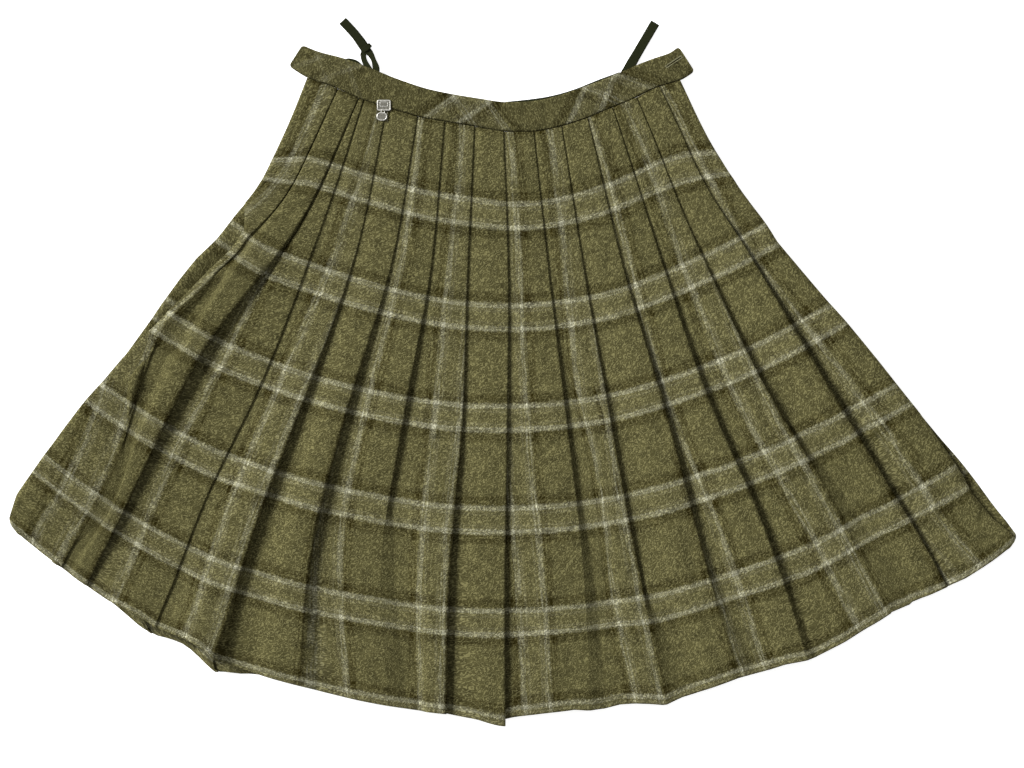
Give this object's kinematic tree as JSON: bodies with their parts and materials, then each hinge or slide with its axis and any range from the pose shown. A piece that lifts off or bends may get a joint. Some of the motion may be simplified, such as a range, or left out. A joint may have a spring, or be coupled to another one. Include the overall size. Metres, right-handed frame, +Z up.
{
  "type": "checked pleated skirt laid flat",
  "caption": "Wool knife-pleated skirt in an olive check, laid flat with its pleats fanned out, with a curved bias-cut waistband, ribbon hanging loops and a small metal charm.",
  "frame": {"origin": "middle of the bounding box, on the surface that the skirt lies on", "axes": "+X across the skirt towards the side that its folds point to, +Y from hem to waist, +Z up from the surface"},
  "size_m": [1.0089, 0.7054, 0.0177],
  "materials": {
    "checked_wool": "brushed wool with a woven check",
    "bias_wool": "brushed wool, the check cut on the bias",
    "ribbon": "matt woven ribbon",
    "pewter": "worn pewter"
  },
  "bodies": {
    "root": {"front_panel": "checked_wool", "back_panel": "checked_wool", "waistband_front": "bias_wool", "waistband_back": "bias_wool", "waist_tape": "ribbon", "hanger_loop_left": "ribbon", "hanger_loop_right": "ribbon", "charm_plate": "pewter", "charm_drop": "pewter"}
  },
  "joints": []
}
